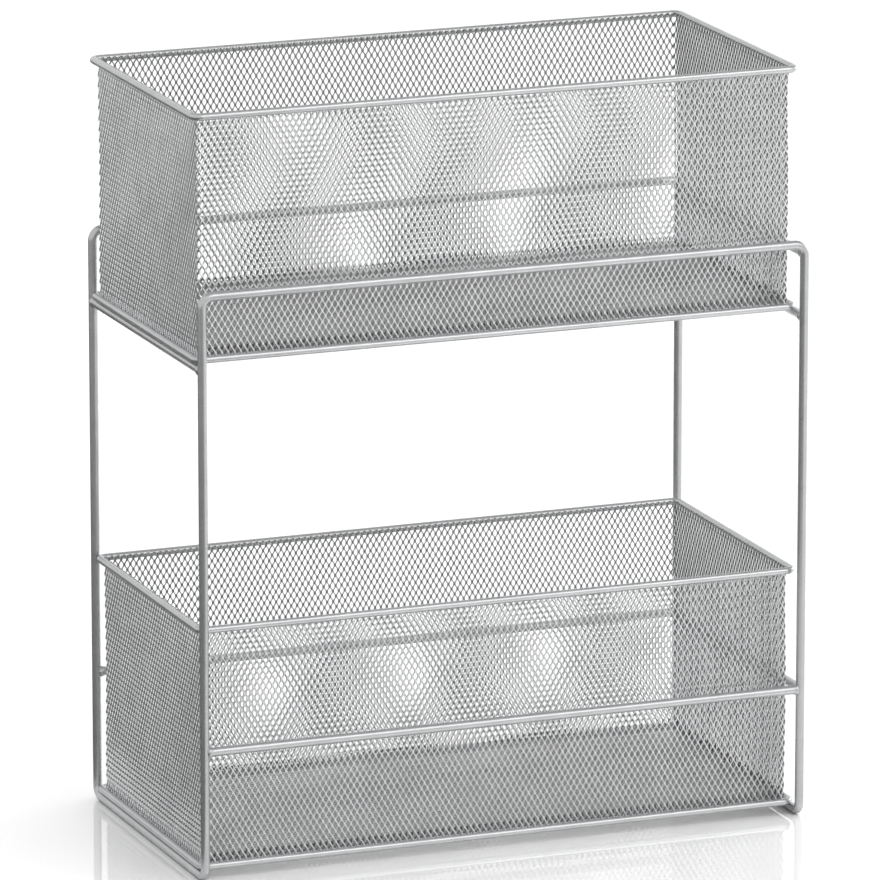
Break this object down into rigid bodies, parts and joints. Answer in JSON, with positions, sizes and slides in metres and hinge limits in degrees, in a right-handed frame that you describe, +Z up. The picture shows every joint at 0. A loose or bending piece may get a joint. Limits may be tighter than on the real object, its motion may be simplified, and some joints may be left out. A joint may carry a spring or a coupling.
{
  "type": "mesh drawer desk organizer",
  "caption": "Tiered desk organizer: a bent-wire stand with open-topped expanded-metal drawers that rest on its rails and pull out at one end.",
  "frame": {"origin": "on the desk, under the middle of the wire stand", "axes": "+X along the long side, away from the end where the drawers pull out; +Y to the rear; +Z up"},
  "size_m": [0.3569, 0.1826, 0.4238],
  "materials": {
    "stand_wire": "satin silver coat",
    "rim_wire": "satin silver coat",
    "mesh_sheet": "satin silver coat"
  },
  "bodies": {
    "stand": {"frame_loop": "stand_wire", "upper_left_cross_rail": "stand_wire", "upper_right_cross_rail": "stand_wire", "upper_right_stop_rail": "stand_wire", "lower_front_rail": "stand_wire", "lower_rear_rail": "stand_wire", "lower_right_stop_rail": "stand_wire"},
    "upper_drawer": {"upper_top_rim": "rim_wire", "upper_bottom_rim": "rim_wire", "upper_front_mesh": "mesh_sheet", "upper_rear_mesh": "mesh_sheet", "upper_left_mesh": "mesh_sheet", "upper_right_mesh": "mesh_sheet", "upper_floor_mesh": "mesh_sheet"},
    "lower_drawer": {"lower_top_rim": "rim_wire", "lower_bottom_rim": "rim_wire", "lower_front_mesh": "mesh_sheet", "lower_rear_mesh": "mesh_sheet", "lower_left_mesh": "mesh_sheet", "lower_right_mesh": "mesh_sheet", "lower_floor_mesh": "mesh_sheet"}
  },
  "joints": [
    {"name": "upper_drawer_slide", "type": "slide", "parent": "stand", "child": "upper_drawer", "axis": [-1, 0, 0], "range_m": [0, 0.34]},
    {"name": "lower_drawer_slide", "type": "slide", "parent": "stand", "child": "lower_drawer", "axis": [-1, 0, 0], "range_m": [0, 0.34]}
  ]
}
